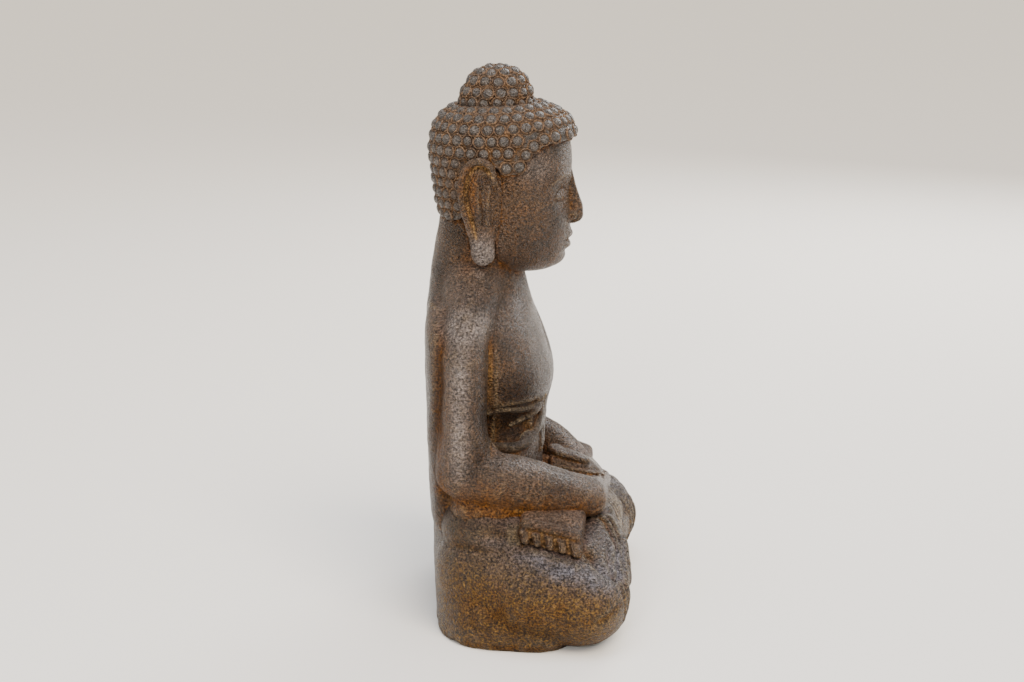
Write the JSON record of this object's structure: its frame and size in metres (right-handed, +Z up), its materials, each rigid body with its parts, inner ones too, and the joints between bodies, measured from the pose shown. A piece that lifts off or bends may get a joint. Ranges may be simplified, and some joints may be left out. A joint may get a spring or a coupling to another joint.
{
  "type": "seated buddha statue",
  "caption": "Stone statue of a seated buddha in meditation, legs folded and hands in the lap, with snail curls and long ear lobes. It stands on its flat base.",
  "frame": {"origin": "centre of the overall box at table height, on the flat underside", "axes": "+Z up through the head, the figure looks along -Y, its right hand is on the -X side"},
  "size_m": [0.3618, 0.2306, 0.61],
  "materials": {
    "rubbed_stone": "carved stone rubbed to a soft satin, brown patina",
    "robe_stone": "carved stone with fine tool marks, brown patina in the folds",
    "hair_stone": "deeply carved stone, rust-coloured dust between the curls",
    "rough_stone": "pitted stone with an aged brown stain"
  },
  "bodies": {
    "root": {"seat_block": "rough_stone", "hair_cap": "hair_stone", "ushnisha": "hair_stone", "head": "rubbed_stone", "right_ear": "rubbed_stone", "left_ear": "rubbed_stone", "torso": "rubbed_stone", "right_upper_arm": "rubbed_stone", "left_upper_arm": "robe_stone", "right_forearm": "rubbed_stone", "left_forearm": "robe_stone", "robe_edge": "robe_stone", "waist_sash": "robe_stone", "right_hand": "rubbed_stone", "left_hand": "rubbed_stone", "left_foot": "rubbed_stone", "right_foot": "rubbed_stone", "right_thigh": "robe_stone", "left_thigh": "robe_stone", "left_shin": "robe_stone", "right_shin": "robe_stone", "lap_cloth": "robe_stone"}
  },
  "joints": []
}
